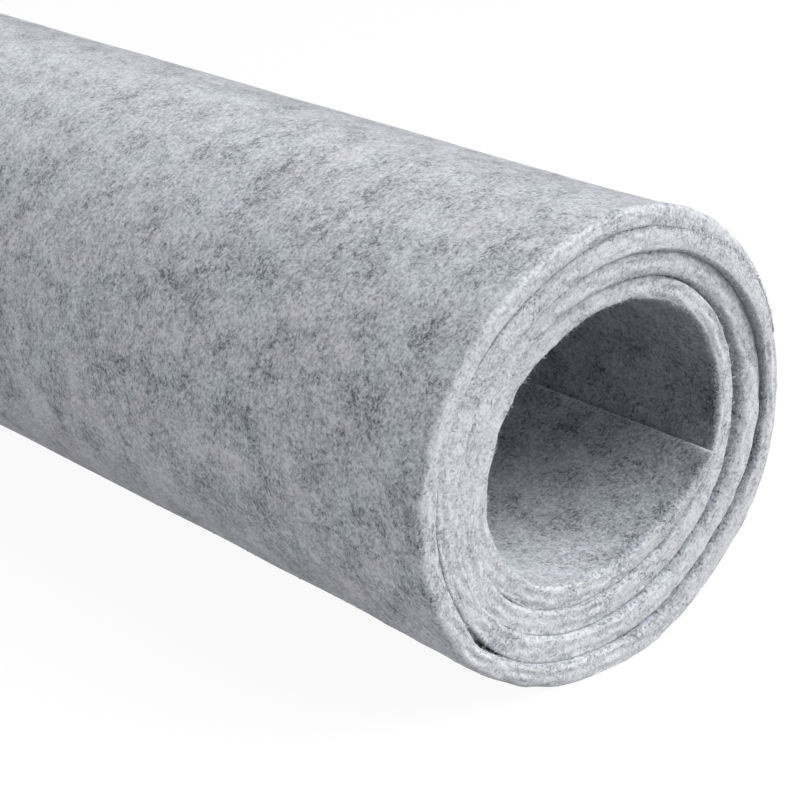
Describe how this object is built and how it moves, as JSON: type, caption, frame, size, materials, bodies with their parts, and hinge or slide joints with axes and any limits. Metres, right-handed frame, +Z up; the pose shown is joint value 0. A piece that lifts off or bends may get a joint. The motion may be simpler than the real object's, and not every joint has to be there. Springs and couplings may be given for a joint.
{
  "type": "calligraphy felt mat",
  "caption": "Soft grey felt mat for brush calligraphy, rolled up with an open core and lying on its side, its loose end tucked against the roll.",
  "frame": {"origin": "on the table, under the middle of the roll's box", "axes": "+X along the roll, towards the end that shows the sheet's layers in the picture; +Z up"},
  "size_m": [0.5036, 0.0708, 0.0688],
  "materials": {
    "felt": "needle-punched polyester felt, light heathered grey, matt and hairy"
  },
  "bodies": {
    "root": {"felt_sheet": "felt"}
  },
  "joints": []
}
